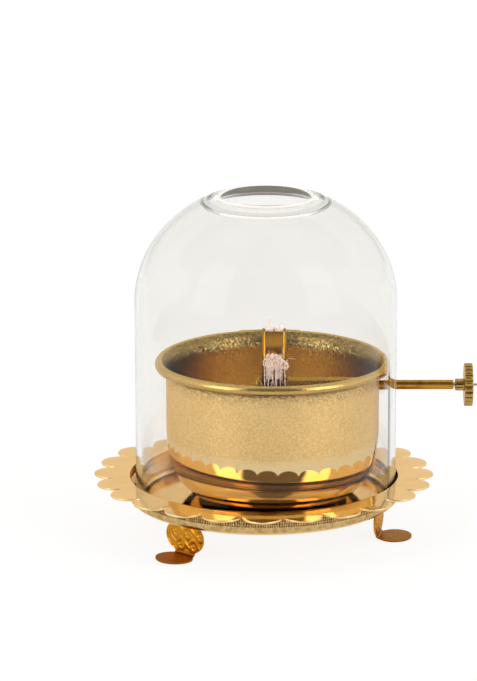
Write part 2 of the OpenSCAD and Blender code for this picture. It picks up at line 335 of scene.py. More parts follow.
def hatched_brass():
    """The pressed band round the tray's wall: upright strokes in uneven rows, with painted shade in their
    pits and over the whole band, which lies under the flange.
    """
    s = Shader("hatched_brass", Metallic=1.0, Specular_Tint=EDGE_TINT)
    pos = s.position()
    split = s.node("ShaderNodeSeparateXYZ")
    s.link(pos, split, 0)
    x, y, z = split.outputs
    angle = s.math("ARCTAN2", y, s.math("SUBTRACT", x, TRAY_X * MM))
    wobble = s.math("MULTIPLY", s.noise(330, 3, 0.6, pos), 0.034)
    stroke = s.math("SINE", s.math("MULTIPLY", s.math("ADD", angle, wobble), KNURLS))
    row = s.math("SINE", s.math("MULTIPLY", z, TAU / (2 * ROW_PITCH * MM)))
    mark = s.math("ADD", s.math("MULTIPLY", stroke, 0.42), s.math("MULTIPLY", row, 0.20))
    uneven = s.math("MULTIPLY", s.math("SUBTRACT", s.noise(430, 4, 0.65, pos), 0.5), 1.9)
    mark = s.math("ADD", mark, uneven)
    # pits, slopes and crests are painted shade: darkest in the pits, and dark overall where the flange shades
    # the band
    pits, slopes, crests = (0.12, 0.06, 0.015), (0.31, 0.185, 0.065), (0.55, 0.37, 0.15)
    s.to("Base Color", s.ramp(s.span(mark, -0.6, 0.7), [(0.0, pits), (0.45, slopes), (1.0, crests)]))
    s.to("Roughness", s.span(mark, -0.5, 0.7, 0.5, 0.28))
    s.to("Normal", s.bump(mark, 0.00025, 0.5))
    return s.material


def satin_brass():
    """The bowl: a fine sparkling grain on its side, inside and lip, and a polished heel."""
    s = Shader("satin_brass", Metallic=1.0, Specular_Tint=EDGE_TINT)
    pos = s.position()
    z = s.xyz(2, pos)
    stain = s.noise(60, 4, 0.6, pos)
    side = s.ramp(stain, [(0.3, (0.95, 0.635, 0.25)), (0.5, (0.98, 0.665, 0.28)), (0.75, (1.0, 0.69, 0.305))])
    grain = s.noise(1250, 2, 0.8, pos)
    coarse = s.noise(760, 3, 0.6, pos)
    # the satin starts above the heel, with a ragged lower edge; these heights and radii are in metres
    ragged = s.math("MULTIPLY", s.noise(240, 3, 0.6, pos), 0.0015)
    satin = s.span(s.math("ADD", z, ragged), 0.0427, 0.0500)
    lip = s.span(z, 0.0772, 0.0780)
    out = s.distance(pos, BOWL_X)
    inside = s.math("MULTIPLY", s.span(out, 0.0484, 0.0480), s.math("SUBTRACT", 1.0, lip))
    flare = s.math("MULTIPLY", s.span(out, 0.0512, 0.0506), s.span(z, 0.0748, 0.0770))
    base = s.mix(satin, (1.0, 0.76, 0.40), side)
    base = s.mix(inside, base, (1.0, 0.74, 0.30))
    base = s.mix(lip, base, (0.90, 0.60, 0.20))
    # the grain is darkest just under the lip, where a painted shadow of the lip is added to it, and on the
    # inner flare
    lip_shadow = s.math("MULTIPLY", s.span(z, 0.0700, 0.0755), s.span(z, 0.0790, 0.0775))
    speck = s.math("ADD", s.math("MULTIPLY", grain, 0.7), s.math("MULTIPLY", coarse, 0.3))
    speck = s.span(speck, 0.34, 0.66)
    depth = s.math("ADD", s.math("MULTIPLY", satin, 0.27), s.math("MULTIPLY", lip_shadow, 0.30))
    depth = s.math("ADD", depth, s.math("MULTIPLY", flare, 0.62))
    shade = s.math("SUBTRACT", 1.0, s.math("MULTIPLY", s.math("SUBTRACT", 1.0, speck), depth))
    # the heel is a little darker than the satin side, the lip darker with painted shade, and the inner flare
    # the darkest
    heel = s.math("SUBTRACT", 1.0, satin)
    dimmed = s.math("ADD", s.math("MULTIPLY", heel, 0.20), s.math("MULTIPLY", lip, 0.27))
    dimmed = s.math("ADD", dimmed, s.math("MULTIPLY", flare, 0.24))
    shade = s.math("MULTIPLY", shade, s.math("SUBTRACT", 1.0, dimmed))
    tone = s.node("ShaderNodeCombineXYZ")
    for i in range(3):
        s.link(shade, tone, i)
    s.to("Base Color", s.mix(1.0, base, tone.outputs[0], "MULTIPLY"))
    sheen = s.math("MAXIMUM", s.math("MULTIPLY", lip, 0.17), s.math("MULTIPLY", inside, 0.20))
    sheen = s.math("MAXIMUM", sheen, s.math("MULTIPLY", flare, 0.18))
    rough = s.math("MULTIPLY", satin, s.math("SUBTRACT", 0.26, sheen))
    rough = s.math("ADD", rough, 0.05)
    s.to("Roughness", s.math("ADD", rough, s.math("MULTIPLY", s.math("MULTIPLY", coarse, satin), 0.06)))
    height = s.math("ADD", grain, s.math("MULTIPLY", coarse, 0.8))
    strength = s.math("ADD", 0.66, s.math("MULTIPLY", inside, 0.34))
    strength = s.math("SUBTRACT", strength, s.math("MULTIPLY", lip, 0.26))
    strength = s.math("ADD", strength, s.math("MULTIPLY", flare, 0.45))
    s.to("Normal", s.bump(height, 0.00016, s.math("MULTIPLY", satin, strength)))
    return s.material


def sheet_brass(name, base, rough, tarnish_scale=260, toe=None):
    """Feet, tube and winder: yellow brass with dark tarnish and rubbed spots, and toes darkened with painted
    shade if asked.
    """
    s = Shader(name, Metallic=1.0, Specular_Tint=EDGE_TINT)
    pos = s.position()
    tarnish = s.noise(tarnish_scale, 5, 0.6, pos)
    dark = tuple(0.70 * c for c in base)
    light = tuple(min(1.0, 1.18 * c) for c in base)
    colour = s.ramp(tarnish, [(0.28, dark), (0.5, base), (0.72, light)])
    if toe is not None:
        # painted shade: the toes under the tray are darker near the floor
        near_floor = s.span(s.xyz(2, pos), 0.0034, 0.0016)
        colour = s.mix(near_floor, colour, toe)
    s.to("Base Color", colour)
    s.to("Roughness", s.span(s.noise(700, 3, 0.6, pos), 0.3, 0.75, rough - 0.05, rough + 0.08))
    s.to("Normal", s.bump(s.noise(900, 3, 0.6, pos), 0.00003, 0.35))
    return s.material


def steel(name, dark, light):
    """Drawn steel, with fine lines along X."""
    s = Shader(name, Metallic=1.0)
    pos = s.position((1, 12, 12))
    s.to("Base Color", s.ramp(s.noise(300, 4, 0.6, pos), [(0.3, dark), (0.7, light)]))
    s.to("Roughness", s.span(s.noise(900, 3, 0.6, pos), 0.3, 0.7, 0.22, 0.4))
    s.to("Normal", s.bump(s.noise(1500, 2, 0.5, pos), 0.00002, 0.4))
    return s.material


def cotton(name, light, shade):
    """Matt twisted cotton, whose colour mixes painted shade and a painted highlight by noise, and which glows
    a little with painted light.
    """
    s = Shader(name, Roughness=0.95, Sheen_Weight=0.4, Sheen_Roughness=0.5, Emission_Strength=0.34)
    pos = s.position()
    # painted shade, the cotton's own colour and a painted highlight, chosen by noise
    colour = s.ramp(s.noise(900, 4, 0.6, pos), [(0.3, shade), (0.55, light), (0.8, (0.97, 0.90, 0.86))])
    s.to("Base Color", colour)
    # painted light: the cotton glows with its own colour
    s.to("Emission Color", colour)
    s.to("Normal", s.bump(s.noise(5200, 3, 0.6, pos), 0.00012, 0.7))
    return s.material


def clear_glass():
    """Clear glass with slight waves, which dims what is behind it a little."""
    s = Shader("clear_glass", Metallic=0.0, Transmission_Weight=1.0, IOR=1.45,
               Specular_Tint=(0.30, 0.30, 0.30, 1))
    pos = s.position()
    clear = s.ramp(s.noise(30, 2, 0.5, pos), [(0.2, (0.915, 0.91, 0.89)), (0.8, (0.935, 0.93, 0.91))])
    s.to("Roughness", s.span(s.noise(70, 3, 0.5, pos), 0.45, 0.8, 0.0, 0.012))
    s.to("Normal", s.bump(s.noise(26, 1, 0.4, pos), 0.0010, 0.10))
    # the thick ring round the mouth is tinted a little darker, and glows with painted light, most on its
    # inner side
    s.to("Emission Color", (0.86, 0.81, 0.68, 1))
    from_axis = s.distance(pos, GLASS_X)
    ring = s.math("MULTIPLY", s.span(from_axis, 0.0290, 0.0270), s.span(s.xyz(2, pos), 0.1500, 0.1512))
    s.to("Base Color", s.mix(ring, clear, (0.74, 0.74, 0.725)))
    s.to("Emission Strength", s.math("MULTIPLY", ring, s.span(from_axis, 0.0250, 0.0240, 0.0, 0.24)))
    return s.material


# pressed strokes round the hatched band, and the height of one of its rows in millimetres
KNURLS, ROW_PITCH = 372, 0.68
polished = polished_brass()
hatched = hatched_brass()
satin = satin_brass()
leg_brass = sheet_brass("sheet_brass", (0.52, 0.22, 0.017), 0.32, toe=(0.27, 0.10, 0.008))
tube_brass = sheet_brass("tube_brass", (0.39, 0.19, 0.022), 0.17, 90)
winder_brass = sheet_brass("winder_brass", (0.42, 0.215, 0.032), 0.24)
hub_brass = sheet_brass("knob_brass", (0.42, 0.265, 0.08), 0.28)
spindle_steel = steel("steel", (0.32, 0.31, 0.29), (0.62, 0.61, 0.58))
wheel_steel = steel("oiled_steel", (0.045, 0.022, 0.010), (0.13, 0.07, 0.035))
wick_cotton = cotton("wick_cotton", (0.93, 0.83, 0.78), (0.70, 0.54, 0.46))
tuft_cotton = cotton("tuft_cotton", (0.95, 0.79, 0.72), (0.42, 0.24, 0.17))
glass = clear_glass()


# ---------------------------------------------------------------- tray

# the petals, their own radius, the circle their middles lie on, and the plate's radius between them
PETALS, PETAL_R, PETAL_MID, PLATE_R = 24, 9.2, 69.1, 70.1
PETAL_TURN = math.radians(-90.5)
PETAL_STEPS = 28
FLANGE_T, WELL_R, WALL_R, BASE_Z = 1.0, 61.6, 62.9, 15.3
RING_R, RING_Z, CHANNEL_Z, CAVITY_R, CAVITY_Z = 52.5, 18.1, 16.3, 50.0, 16.6
GROOVES, GROOVE_Z = 5, 17.9


def petal_angles():
    """Angles round the tray, in even steps of each petal's own arc, and the same from the petal's middle."""
    valley = math.asin(PETAL_MID * math.sin(TAU / PETALS / 2) / PETAL_R)
    half = TAU / PETALS / 2 + valley
    local = np.array([math.atan2(PETAL_R * math.sin(t), PETAL_MID + PETAL_R * math.cos(t))
                      for t in np.linspace(-half, half, PETAL_STEPS, endpoint=False)])
    whole = np.concatenate([PETAL_TURN + TAU * k / PETALS + local for k in range(PETALS)])
    return whole, np.tile(local, PETALS)


ANGLES, LOCAL = petal_angles()


def outline(inset):
    """The flange's edge at each angle, moved in by inset."""
    root = (PETAL_R - inset) ** 2 - (PETAL_MID * np.sin(LOCAL)) ** 2
    petal = PETAL_MID * np.cos(LOCAL) + np.sqrt(np.maximum(root, 0.0))
    return np.where(root > 0, np.maximum(petal, PLATE_R - inset), PLATE_R - inset)


def tray_profile():
    """From the middle over the floor's bead, up the grooved wall, out round a petal and back underneath."""
    grooves = []
    for i in range(GROOVES):
        z = GROOVE_Z + i
        grooves += [(WELL_R + depth, z + climb)
                    for depth, climb in ((0, 0), (0.17, 0.12), (0.35, 0.35), (0.17, 0.58), (0, 0.7))]
    bead = arc(RING_R + 0.2, RING_Z - 1, 1, 90, 0, 8)
    top = FLANGE_Z
    low = top - FLANGE_T
    edge = [(outline(inset), z)
            for inset, z in ((0.45, top), (0.18, top - 0.07), (0.04, top - 0.22), (0.0, top - 0.4),
                             (0.0, low + 0.35), (0.06, low + 0.15), (0.3, low))]
    return ([(0, RING_Z)] + line((4, RING_Z), (RING_R, RING_Z), 16) + bead
            + [(RING_R + 1.2, CHANNEL_Z)] + arc(WELL_R - 1, CHANNEL_Z + 1, 1, -90, 0, 6)
            + grooves + [(WELL_R, 23.5), (WELL_R, 25.0)]
            + arc(WELL_R + 0.7, top - 0.7, 0.7, 180, 90, 7)
            + [(64, top), (66, top), (68, top)] + edge
            + [(68, low), (65, low), (WALL_R + 0.35, low), (WALL_R, low - 0.35)]
            + [(WALL_R, 22.5)] + arc(WALL_R - 4, BASE_Z + 4, 4, 0, -90, 12)
            + [(55, BASE_Z), (CAVITY_R, BASE_Z), (CAVITY_R - 0.3, BASE_Z + 0.3),
               (CAVITY_R - 0.3, CAVITY_Z - 0.3), (CAVITY_R - 0.6, CAVITY_Z), (20, CAVITY_Z), (0, CAVITY_Z)])


tray = lathe("tray_dish", tray_profile(), TRAY_X, ANGLES, sharp=30)
finish_piece(tray, "stand", "polished_brass", polished, "tray")


def knurl():
    """The hatched band pressed round the outside of the tray's wall."""
    rng = np.random.default_rng(5)
    stroke = np.array([0.0, 0.85, 1.0, 0.3])
    wave = np.tile(stroke, KNURLS) * np.repeat(rng.uniform(0.45, 1.0, KNURLS), len(stroke))
    rows = [(WALL_R - 0.25, 19.7), (WALL_R - 0.05, 19.7)]
    for i in range(9):
        z = 19.9 + i * ROW_PITCH
        lift = 0.34 * (1 if i % 2 else 0.5) * min(1.0, 0.4 + 0.3 * i)
        shift = np.roll(wave, (i // 2) % 2)
        rows.append((WALL_R + 0.01 + lift * shift, z))
    rows += [(WALL_R - 0.05, 25.7), (WALL_R - 0.25, 25.7)]
    return lathe("tray_hatched_band", rows, TRAY_X, even_angles(len(wave)), sharp=25)


finish_piece(knurl(), "stand", "polished_brass", hatched)


# ---------------------------------------------------------------- feet

# how far out the leaf stands, the widths of bend, leaf and toe, the toe's length and the sheet's thickness
FOOT_R, FOOT_W, LEG_W, TOE_W, TOE_LEN, SHEET_T = 54.5, 11.2, 22.4, 18.0, 14.0, 0.9
LEG_LOW, LEG_MID, LEG_HIGH = 2 * SHEET_T, 8.8, BASE_Z - 2 * SHEET_T


def bend_share(width):
    """How far along its half length, from 0 to 1, an oval of this width has narrowed to FOOT_W."""
    return math.sqrt(1 - (FOOT_W / width) ** 2)


def leaf_width(z):
    return LEG_W * math.sqrt(1 - ((LEG_MID - z) * bend_share(LEG_W) / (LEG_MID - LEG_LOW)) ** 2)


def foot_rows():
    """The sheet's outer face from top to toe, as rows of (outward, up, outward normal, up normal, width)."""
    t = SHEET_T
    top_x, toe_x = FOOT_R - 2 * t, FOOT_R + t
    top_w = leaf_width(LEG_HIGH)
    rows = [(x, BASE_Z, 0, 1, top_w) for x in np.linspace(CAVITY_R + 0.4, top_x, 4, endpoint=False)]
    for a in np.radians(np.linspace(90, 0, 9)):
        c, s = math.cos(a), math.sin(a)
        rows.append((top_x + 2 * t * c, LEG_HIGH + 2 * t * s, c, s, top_w))
    for z in np.linspace(LEG_HIGH, LEG_LOW, 56)[1:-1]:
        rows.append((FOOT_R, z, 1, 0, leaf_width(z)))
    for a in np.radians(np.linspace(180, 270, 9)):
        c, s = math.cos(a), math.sin(a)
        rows.append((toe_x + t * c, LEG_LOW + t * s, -c, -s, FOOT_W))
    middle = TOE_LEN * bend_share(TOE_W) / (1 + bend_share(TOE_W))
    half = TOE_LEN - middle
    for a in np.linspace(-math.asin(middle / half), math.pi / 2, 26)[1:]:
        rows.append((toe_x + middle + half * math.sin(a), t, 0, 1, max(0.3, TOE_W * math.cos(a))))
    return rows


def scroll_relief(y, z):
    """Height, from 0 to 1, of the pressed vine on a leg: slanting stems with a curl in each gap."""
    gap, slant = 7.4, 0.6
    height = 0.0
    for k in range(-2, 4):
        stem = gap * k - 3.6 + slant * (LEG_HIGH - z) + math.sin(0.7 * z + 1.3 * k)
        height = max(height, math.exp(-(y - stem) ** 2))
        for cz in (10.6, 5.0):
            cy = gap * k + 0.1 + slant * (LEG_HIGH - cz)
            d = math.hypot(y - cy, (z - cz) * 0.75)
            ring = 1.9 + 0.16 * math.atan2(z - cz, y - cy)
            height = max(height, 0.95 * math.exp(-((d - ring) / 0.65) ** 2), 0.6 * math.exp(-(d / 0.6) ** 2))
    return height


def foot(name, turn_degrees, slide):
    """One leaf-and-toe foot of pressed sheet. slide moves the vine across the leaf."""
    rows = foot_rows()
    u = np.linspace(-1, 1, 61)
    across = 0.35 * np.sin(u * math.pi / 2) + 0.65 * u
    turn = math.radians(turn_degrees - 90)
    verts = []
    for side in (0, 1):
        for x, z, nx, nz, width in rows:
            for share in across:
                y = share * width / 2
                edge = min(1.0, (1 - abs(share)) * width / 2 / 1.1)
                on_leaf = min(1.0, max(0.0, (z - LEG_LOW) / 1.2)) if nx == 1 else 0.0
                pressed = 0.40 * (scroll_relief(y + slide, z) - 0.75) * edge * on_leaf
                back = SHEET_T - 0.15 * max(0.0, 1 - edge * 4)
                out = min(0.0, pressed) if side == 0 else max(-back, pressed * 0.8 - back)
                verts.append((TRAY_X + (x + nx * out) * math.cos(turn) - y * math.sin(turn),
                              (x + nx * out) * math.sin(turn) + y * math.cos(turn), z + nz * out))
    n, m = len(rows), len(across)
    faces = []
    for i in range(n - 1):
        for j in range(m - 1):
            a = i * m + j
            b = n * m + a
            faces += [(a, a + 1, a + m + 1, a + m), (b, b + m, b + m + 1, b + 1)]
    edge = list(range(m)) + [i * m + m - 1 for i in range(1, n)]
    edge += [(n - 1) * m + j for j in range(m - 2, -1, -1)] + [i * m for i in range(n - 2, 0, -1)]
    for a, b in zip(edge, edge[1:] + edge[:1]):
        faces.append((b, a, n * m + a, n * m + b))
    return make(name, verts, faces, sharp=50)


for name, turn, slide in (("foot_left", -41, 0.0), ("foot_right", 78, 1.7), ("foot_rear", 198, 3.1)):
    finish_piece(foot(name + "_leaf", turn, slide), "stand", "sheet_brass", leg_brass, name)


# ---------------------------------------------------------------- bowl

BOWL_R, BOWL_T, BOWL_FOOT_R, BOWL_BASE_Z = 48.9, 1.4, 33.0, 18.2
# where the side starts to curve in, that curve's radius, and where the tighter curve takes over
HEEL_Z, HEEL_R, UNDER_Z = 51.0, 88.0, 36.3
LIP_Z, LIP_R, LIP_MID_R, MOUTH_FLARE_R = 79.9, 2.3, 51.7, 8.0


def bowl_profile():
    """A gentle curve from the straight side, a tighter one down to the foot, and a rolled lip that the inside
    flares into."""
    heel_turn = math.asin((HEEL_Z - UNDER_Z) / HEEL_R)
    under_x = BOWL_R - HEEL_R * (1 - math.cos(heel_turn))
    under_turn = 2 * math.atan((under_x - BOWL_FOOT_R) / (UNDER_Z - BOWL_BASE_Z)) - heel_turn
    under_r = (UNDER_Z - BOWL_BASE_Z) / (math.sin(under_turn) - math.sin(heel_turn))
    mid_x, mid_z = under_x - under_r * math.cos(heel_turn), UNDER_Z + under_r * math.sin(heel_turn)
    floor_turn = math.asin((mid_z - BOWL_BASE_Z - BOWL_T) / (under_r - BOWL_T))
    heel, under, floor_end = (math.degrees(a) for a in (heel_turn, under_turn, floor_turn))
    inner_r, flare_z = BOWL_R - BOWL_T, LIP_Z - 4.3
    mouth_turn = math.degrees(math.acos(1 - (LIP_MID_R - inner_r) / MOUTH_FLARE_R))
    mouth_z = LIP_Z + LIP_R - MOUTH_FLARE_R * math.sin(math.radians(mouth_turn))
    outer = ([(0, BOWL_BASE_Z), (20, BOWL_BASE_Z), (BOWL_FOOT_R - 1.2, BOWL_BASE_Z)]
             + arc(mid_x, mid_z, under_r, -under, -heel, 20)[:-1]
             + arc(BOWL_R - HEEL_R, HEEL_Z, HEEL_R, -heel, 0, 20)
             + line((BOWL_R, HEEL_Z + 1.5), (BOWL_R, flare_z), 18)
             + arc(BOWL_R + 3, flare_z, 3, 180, 122, 8))
    lip = arc(LIP_MID_R, LIP_Z, LIP_R, -124, 90, 36)
    inner = (arc(inner_r + MOUTH_FLARE_R, mouth_z, MOUTH_FLARE_R, 180 - mouth_turn + 6, 180, 14)
             + line((inner_r, mouth_z - 1.5), (inner_r, HEEL_Z), 16)
             + arc(BOWL_R - HEEL_R, HEEL_Z, HEEL_R - BOWL_T, 0, -heel, 16)
             + arc(mid_x, mid_z, under_r - BOWL_T, -heel, -floor_end, 16)[1:]
             + [(28, BOWL_BASE_Z + BOWL_T), (15, BOWL_BASE_Z + BOWL_T), (0, BOWL_BASE_Z + BOWL_T)])
    return outer + lip + inner


bowl = lathe("bowl_shell", bowl_profile(), BOWL_X, even_angles(320), sharp=35)
finish_piece(bowl, "lamp_bowl", "satin_brass", satin, "bowl")


# ---------------------------------------------------------------- wick tube, housing, sleeve

def rounded_rectangle(w, d, r, n=8):
    """Outline of a rounded rectangle, anticlockwise from the middle of its right side."""
    points = []
    for sx, sy, a0 in ((1, 1, 0), (-1, 1, 90), (-1, -1, 180), (1, -1, 270)):
        cx, cy = sx * (w / 2 - r), sy * (d / 2 - r)
        points += [(cx + r * math.cos(math.radians(a0 + 90 * i / n)),
                    cy + r * math.sin(math.radians(a0 + 90 * i / n))) for i in range(n + 1)]
    return points


TUBE_CORNER, TUBE_SHEET_T = 2.0, 0.7
WINDOW_W, WINDOW_LOW, WINDOW_HIGH = 7.6, 62, 84


def wick_tube():
    """The flat upright tube, with rounded mouths and a window cut in its front."""
    low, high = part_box("wick_tube")
    w, d = (high.x - low.x) / MM, (high.y - low.y) / MM
    cy, z0, z1 = (low.y + high.y) / 2 / MM, low.z / MM, high.z / MM
    t = TUBE_SHEET_T
    # up the outside and down the inside
    rings = ((0.12, z0), (0.0, z0 + 0.12), (0.0, z1 - 0.15), (0.05, z1 - 0.04), (0.16, z1),
             (t - 0.12, z1), (t, z1 - 0.12), (t, z0 + 0.1), (t - 0.08, z0))
    verts, faces = [], []
    for inset, z in rings:
        ring = rounded_rectangle(w - 2 * inset, d - 2 * inset, TUBE_CORNER - inset)
        verts += [(TUBE_X + x, cy + y, z) for x, y in ring]
    m = len(ring)
    for i in range(len(rings)):
        for j in range(m):
            k, nxt = (j + 1) % m, (i + 1) % len(rings)
            faces.append((i * m + j, i * m + k, nxt * m + k, nxt * m + j))
    tube = make("wick_tube_sheet", verts, faces, sharp=40)
    front = low.y / MM
    cut(tube, "window_cutter", (TUBE_X - WINDOW_W / 2, front - 1, WINDOW_LOW),
        (TUBE_X + WINDOW_W / 2, front + 1.1, WINDOW_HIGH))
    return tube


finish_piece(wick_tube(), "lamp_bowl", "sheet_brass", tube_brass, "wick_tube")

# the bore that the spindle turns in
BEARING_R = 1.075


def tube_along_x(name, node, inner):
    """A turned tube that fills the box of a CAD node, with rounded edges."""
    edge = 0.15
    low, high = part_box(node)
    x0, x1, r = low.x / MM, high.x / MM, (high.z - low.z) / 2 / MM
    rows = ([(inner + edge, x0), (r - edge, x0), (r - 0.3 * edge, x0 + 0.3 * edge), (r, x0 + edge)]
            + [(r, x) for x in np.linspace(x0 + 1, x1 - 1, 9)]
            + [(r, x1 - edge), (r - 0.3 * edge, x1 - 0.3 * edge), (r - edge, x1), (inner + edge, x1),
               (inner, x1 - edge), (inner, x0 + edge)])
    return turned(name, rows)


for node, bore_r in (("spindle_housing", 2.25), ("outer_sleeve", BEARING_R)):
    finish_piece(tube_along_x(node + "_tube", node, bore_r), "lamp_bowl", "sheet_brass", winder_brass, node)


def end_bearing():
    """A cup with a rounded end, which holds the spindle's inner end."""
    low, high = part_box("end_bearing")
    x0, x1, r = low.x / MM, high.x / MM, (high.z - low.z) / 2 / MM
    rows = [(0, x0), (r - 0.5, x0), (r - 0.15, x0 + 0.12), (r, x0 + 0.4), (r, x1 - 0.2), (r - 0.15, x1),
            (1.2, x1), (BEARING_R, x1 - 0.1), (BEARING_R, x0 + 0.5), (0, x0 + 0.5)]
    return turned("end_bearing_cup", rows)


finish_piece(end_bearing(), "lamp_bowl", "sheet_brass", winder_brass, "end_bearing")


# ---------------------------------------------------------------- knob

TEETH, TOOTH_DEPTH, HUB_R, HUB_LEN = 22, 0.95, 2.75, 4.2


def knob():
    """A toothed wheel on a slotted hub, from the hub's end at x0 to the wheel's outer face at x2."""
    low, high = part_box("knob")
    x0, x2, r = low.x / MM, high.x / MM, (high.z - low.z) / 2 / MM
    x1 = x0 + HUB_LEN
    angles = even_angles(TEETH * 12)
    tooth = np.abs(np.cos(angles * TEETH / 2)) ** 0.55

    def rim(inset):
        return r - TOOTH_DEPTH * (1 - tooth) - inset

    rows = [(1.05, x0), (HUB_R - 0.3, x0), (HUB_R - 0.08, x0 + 0.1), (HUB_R, x0 + 0.35), (HUB_R, x1 - 0.1),
            (HUB_R + 0.15, x1), (4.5, x1), (7.8, x1), (rim(0.5), x1), (rim(0.12), x1 + 0.12),
            (rim(0.0), x1 + 0.45), (rim(0.0), x2 - 0.45), (rim(0.12), x2 - 0.12), (rim(0.5), x2), (7.8, x2),
            (7.2, x2 - 0.25), (3.0, x2 - 0.25), (2.5, x2), (1.05, x2)]
    made = turned("knob_toothed_wheel", rows, angles, sharp=35)
    for i, dz in enumerate((0.75, -0.65)):
        cut(made, f"slit_cutter_{i}", (x0 - 1, -4, SPINDLE_Z + dz - 0.2), (x1 - 0.6, 4, SPINDLE_Z + dz + 0.2))
    return made


finish_piece(knob(), "winder", "sheet_brass", hub_brass, "knob")
for name, material in (("spindle", spindle_steel), ("feed_wheel_left", wheel_steel),
                       ("feed_wheel_right", wheel_steel)):
    NODES[name].data.materials.clear()
    NODES[name].data.materials.append(material)


# ---------------------------------------------------------------- cotton

def smooth_path(points, n):
    """A smooth curve through the points, by Catmull-Rom, with n samples."""
    p = np.array([points[0], *points, points[-1]], float)
    out = []
    for t in np.linspace(0, len(points) - 1 - 1e-6, n):
        i = int(t)
        f = t - i
        a, b, c, d = p[i], p[i + 1], p[i + 2], p[i + 3]
        out.append(0.5 * (2 * b + (c - a) * f + (2 * a - 5 * b + 4 * c - d) * f ** 2
                          + (3 * b - a - 3 * c + d) * f ** 3))
    return np.array(out)


def frame_of(path):
    """Two unit vectors square to the path at each of its points."""
    tangent = np.gradient(path, axis=0)
    tangent /= np.linalg.norm(tangent, axis=1)[:, None]
    side = np.zeros_like(path)
    up = np.array([0.0, 1.0, 0.02])
    for i, t in enumerate(tangent):
        up = up - t * (up @ t)
        up /= np.linalg.norm(up)
        side[i] = up
    return side, np.cross(tangent, side)


def add_tube(verts, faces, path, radii, sides=7):
    """A closed tube along a path, with a radius at each point of it."""
    side, other = frame_of(path)
    base = len(verts)
    for p, a, b, r in zip(path, side, other, radii):
        for k in range(sides):
            t = TAU * k / sides
            verts.append(p + (a * math.cos(t) + b * math.sin(t)) * r)
    n = len(path)
    for i in range(n - 1):
        for k in range(sides):
            m = (k + 1) % sides
            faces.append((base + i * sides + k, base + i * sides + m, base + (i + 1) * sides + m,
                          base + (i + 1) * sides + k))
    faces.append(tuple(base + k for k in range(sides))[::-1])
    faces.append(tuple(base + (n - 1) * sides + k for k in range(sides)))


def add_yarn(verts, faces, points, radius, rng, plies, turns, frayed):
    """A twisted yarn: plies wound round a path, which loosen and thin over its last, frayed share."""
    n = 44
    path = smooth_path(points, n)
    side, other = frame_of(path)
    t = np.linspace(0, 1, n)
    end = np.clip((t - (1 - frayed)) / frayed, 0, 1)
    for ply in range(plies):
        phase = TAU * ply / plies + rng.uniform(-0.3, 0.3)
        loose = 1 + end * rng.uniform(0.6, 2.0)
        wobble = rng.uniform(-0.15, 0.15)
        a = phase + TAU * turns * t
        offset = radius * 0.52 * loose * (1 + wobble * np.sin(7 * t + phase))
        centre = path + side * (np.cos(a) * offset)[:, None] + other * (np.sin(a) * offset)[:, None]
        stop = int(n * rng.uniform(0.86, 1.0))
        thin = radius * 0.56 * (1 - 0.55 * end)
        add_tube(verts, faces, centre[:stop], thin[:stop])


def add_fuzz(verts, faces, centre, spread, count, rng, length=(0.8, 2.2)):
    """Loose single fibres round a point."""
    for _ in range(count):
        start = np.array(centre) + rng.normal(0, 1, 3) * np.array(spread)
        direction = rng.normal(0, 1, 3)
        direction /= np.linalg.norm(direction)
        size = rng.uniform(*length)
        bend = rng.normal(0, 0.35, 3) * size
        points = [start, start + direction * size * 0.5 + bend * 0.5, start + direction * size + bend]
        add_tube(verts, faces, smooth_path(points, 7), np.linspace(0.07, 0.035, 7), sides=4)


def wick(name, node, wisp, wisp_r, seed):
    """One flat wick: yarns side by side that end in a soft rim above the tube, and one longer wisp.

    wisp is the wisp's path and wisp_r its radius.
    """
    low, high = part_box(node)
    x0, x1, y0, y1, z0 = low.x / MM, high.x / MM, low.y / MM, high.y / MM, low.z / MM
    rng = np.random.default_rng(seed)
    verts, faces = [], []
    count = 5
    for i in range(count):
        x = x0 + (x1 - x0) * (i + 0.5) / count
        y = (y0 + y1) / 2 + rng.uniform(-0.08, 0.08)
        lean = rng.uniform(-0.25, 0.25)
        top = TUBE_TOP + rng.uniform(0.3, 1.0)
        points = [(x, y, z0), (x, y, (z0 + top) / 2), (x, y, TUBE_TOP - 2),
                  (x + lean * 0.5, y - rng.uniform(0.3, 0.9), top),
                  (x + lean, rng.uniform(-0.2, 1.4), top + 0.2),
                  (x + lean * 0.8, -0.75, top - rng.uniform(0.3, 0.9))]
        add_yarn(verts, faces, points, 0.43, rng, plies=3, turns=26, frayed=0.06)
    add_yarn(verts, faces, wisp, wisp_r, rng, plies=3, turns=3.0, frayed=0.3)
    for i in range(8):
        x = x0 + (x1 - x0) * (i + 0.5) / 8
        inwards = 0.96 * x + 0.04 * TUBE_X
        add_fuzz(verts, faces, (x, y0 - 0.6, TUBE_TOP + 0.6), (0.25, 0.5, 0.22), 5, rng, (0.5, 1.2))
        add_fuzz(verts, faces, (inwards, 0.1, TUBE_TOP + 0.35), (0.2, 0.2, 0.25), 5, rng, (0.5, 1.0))
    finish_piece(make(name, verts, faces, sharp=60), "wick", "cotton", wick_cotton, node)


WICK_Y = (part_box("wick_left")[0].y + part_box("wick_left")[1].y) / 2 / MM
# the wisps' points are (right of the tube's middle, behind the wick's middle, above the tube's top)
LEFT_WISP = ((-0.9, 0, -4), (-1.0, 0, 0), (-1.6, -0.1, 2.0), (-2.2, -0.2, 3.8), (-3.1, -0.3, 5.2))
RIGHT_WISP = ((3.0, 0, -4), (3.1, 0, 0), (3.6, -0.1, 1.4), (3.5, -0.1, 2.4), (3.9, -0.2, 3.0))
for side, points, wisp_r, seed in (("left", LEFT_WISP, 0.65, 21), ("right", RIGHT_WISP, 0.5, 22)):
    wisp = [(TUBE_X + x, WICK_Y + y, TUBE_TOP + z) for x, y, z in points]
    wick(f"wick_{side}_strand", f"wick_{side}", wisp, wisp_r, seed)


